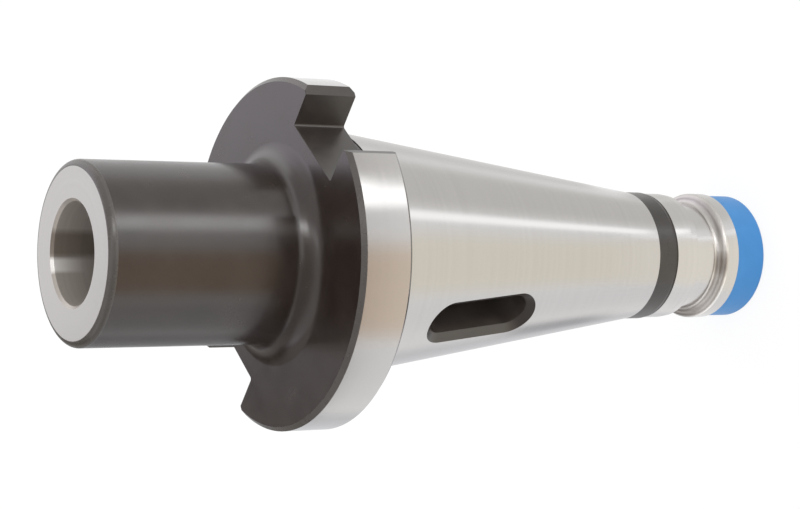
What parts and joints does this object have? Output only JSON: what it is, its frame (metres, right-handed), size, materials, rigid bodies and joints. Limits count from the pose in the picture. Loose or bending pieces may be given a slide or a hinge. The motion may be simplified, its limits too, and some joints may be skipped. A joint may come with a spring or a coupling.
{
  "type": "morse taper reducing sleeve",
  "caption": "Adaptor sleeve with a slotted drive flange, a steep-taper shank outside, a Morse taper socket and drift slot inside, and a plastic cap over the drawbar thread.",
  "frame": {"origin": "on the axis at the gauge plane of the shank, where its taper is 44.45 mm across", "axes": "+Z along the axis from the shank towards the nose, +X through the middle of a drive slot, and the drift slot runs through along Y"},
  "size_m": [0.0598, 0.063, 0.1437],
  "materials": {
    "tool_steel": "ground taper and nose face, the rest black-oxidised",
    "cap_plastic": "smooth moulded blue"
  },
  "bodies": {
    "root": {"sleeve_body": "tool_steel", "thread_cap": "cap_plastic"}
  },
  "joints": []
}
